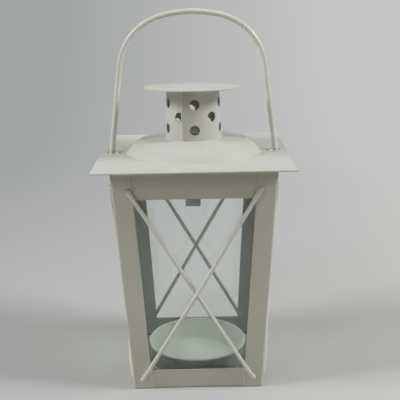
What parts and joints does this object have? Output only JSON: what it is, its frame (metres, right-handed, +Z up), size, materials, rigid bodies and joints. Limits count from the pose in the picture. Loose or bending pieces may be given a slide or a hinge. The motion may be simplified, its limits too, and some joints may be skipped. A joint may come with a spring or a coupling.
{
  "type": "tealight lantern",
  "caption": "Square tapered sheet metal candle lantern with glass sides, crossed wires, a lift-up roof with a punched chimney and cap, and a wire bail.",
  "frame": {"origin": "middle of the base, on the surface that the lantern stands on", "axes": "+Z up, front towards -Y, and +X to the right as seen from the front"},
  "size_m": [0.08, 0.08, 0.1581],
  "materials": {
    "body_paint": "satin",
    "roof_paint": "satin",
    "chimney_paint": "satin",
    "wire_paint": "satin",
    "cup_paint": "satin",
    "clip_metal": "dull, folded sheet",
    "pane_glass": "clear, pale green"
  },
  "bodies": {
    "body": {"corner_post_front_left": "body_paint", "corner_post_front_right": "body_paint", "corner_post_back_right": "body_paint", "corner_post_back_left": "body_paint", "top_rail_front": "body_paint", "top_rail_right": "body_paint", "top_rail_back": "body_paint", "top_rail_left": "body_paint", "bottom_rail_front": "body_paint", "bottom_rail_right": "body_paint", "bottom_rail_back": "body_paint", "bottom_rail_left": "body_paint", "base_plate": "body_paint", "candle_cup": "cup_paint", "glass_pane_front": "pane_glass", "glass_pane_right": "pane_glass", "glass_pane_back": "pane_glass", "glass_pane_left": "pane_glass", "glass_clip_front": "clip_metal", "glass_clip_right": "clip_metal", "glass_clip_back": "clip_metal", "glass_clip_left": "clip_metal", "cross_wire_front_under": "wire_paint", "cross_wire_front_over": "wire_paint", "cross_wire_right_under": "wire_paint", "cross_wire_right_over": "wire_paint", "cross_wire_back_under": "wire_paint", "cross_wire_back_over": "wire_paint", "cross_wire_left_under": "wire_paint", "cross_wire_left_over": "wire_paint"},
    "lid": {"roof_plate": "roof_paint", "chimney_tube": "chimney_paint", "chimney_cap": "roof_paint"},
    "bail": {"bail_handle": "wire_paint"}
  },
  "joints": [
    {"name": "lid_lift", "type": "slide", "parent": "body", "child": "lid", "axis": [0, 0, 1], "range_m": [0, 0.018]},
    {"name": "bail_swing", "type": "hinge", "parent": "body", "child": "bail", "pos_m": [0, 0, 0.094], "axis": [1, 0, 0], "range_deg": [-3, 3]}
  ]
}
